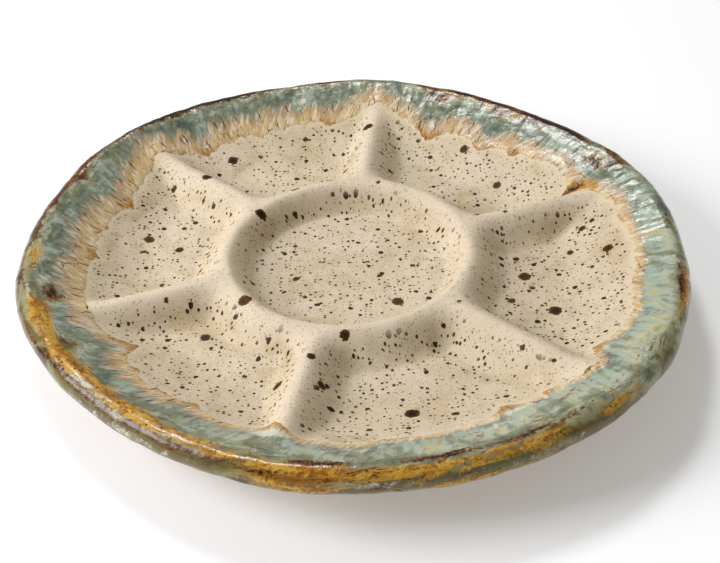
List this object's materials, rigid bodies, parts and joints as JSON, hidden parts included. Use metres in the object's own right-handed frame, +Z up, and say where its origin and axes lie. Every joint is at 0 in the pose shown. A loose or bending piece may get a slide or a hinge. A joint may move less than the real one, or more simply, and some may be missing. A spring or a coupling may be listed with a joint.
{
  "type": "chip and dip server",
  "caption": "Round divided serving platter of glazed stoneware, with a ringed dip well in the middle and chip compartments around it.",
  "frame": {"origin": "on the table, at the middle of the platter's outline, level with the foot ring's flat face", "axes": "+Z up out of the wells; -Y towards the front; +X to the right as seen from the front"},
  "size_m": [0.3574, 0.3592, 0.04],
  "materials": {
    "bare_stoneware": "matte, speckled buff clay",
    "rim_reactive_glaze": "glossy blue-green glaze breaking to amber and brown",
    "well_oatmeal_glaze": "satin oatmeal glaze with iron speckle",
    "underside_amber_glaze": "semi-gloss thin amber-brown glaze"
  },
  "bodies": {
    "root": {"stoneware_body": "bare_stoneware", "rim_glaze": "rim_reactive_glaze", "well_glaze": "well_oatmeal_glaze", "underside_glaze": "underside_amber_glaze"}
  },
  "joints": []
}
